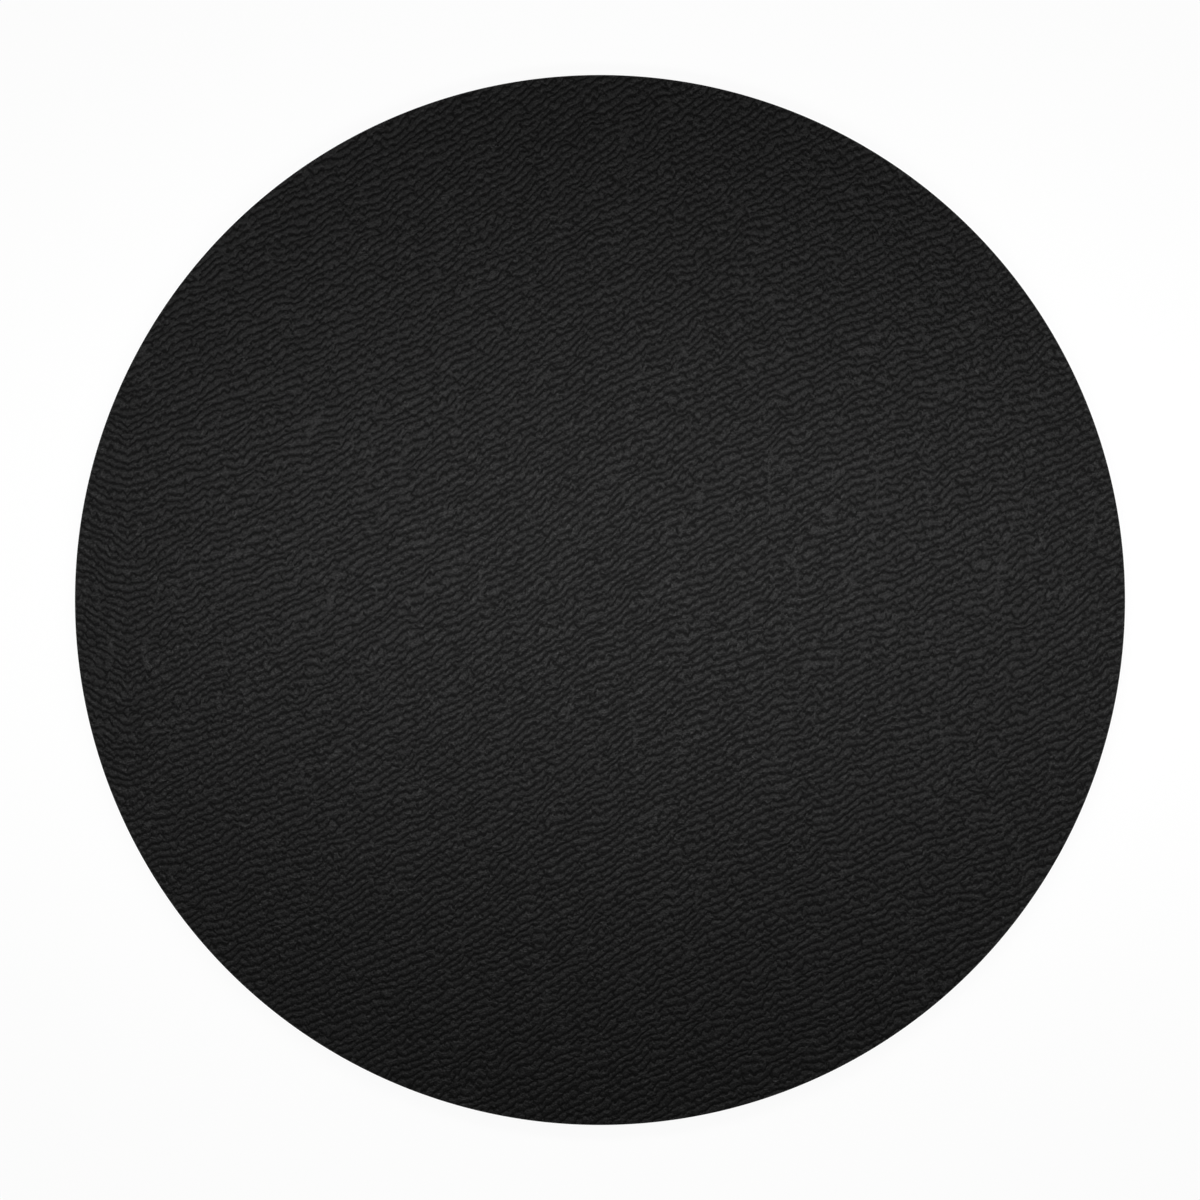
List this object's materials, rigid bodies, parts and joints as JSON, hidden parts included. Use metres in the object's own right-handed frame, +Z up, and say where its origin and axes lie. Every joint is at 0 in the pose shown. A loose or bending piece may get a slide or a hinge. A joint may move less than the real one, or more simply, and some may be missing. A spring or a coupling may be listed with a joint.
{
  "type": "mouse pad",
  "caption": "Round leather-grained mouse pad: a grained skin on cloth, bonded to a sponge rubber core and a rubber sole with a zigzag tread.",
  "frame": {"origin": "centre of the underside, on the plane that rests on the desk", "axes": "+Z up out of the grained face; the grooves of the sole's tread run along X; +Y is the edge away from the user"},
  "size_m": [0.2, 0.2, 0.003],
  "materials": {
    "skin": "polyurethane skin with an embossed long leather grain, matt with a soft sheen",
    "cloth": "knitted polyester, matt",
    "sponge": "cut sponge rubber, fine open pores, matt",
    "sole": "moulded dense rubber, matt"
  },
  "bodies": {
    "root": {"grained_skin": "skin", "carrier_cloth": "cloth", "sponge_core": "sponge", "grip_sole": "sole"}
  },
  "joints": []
}
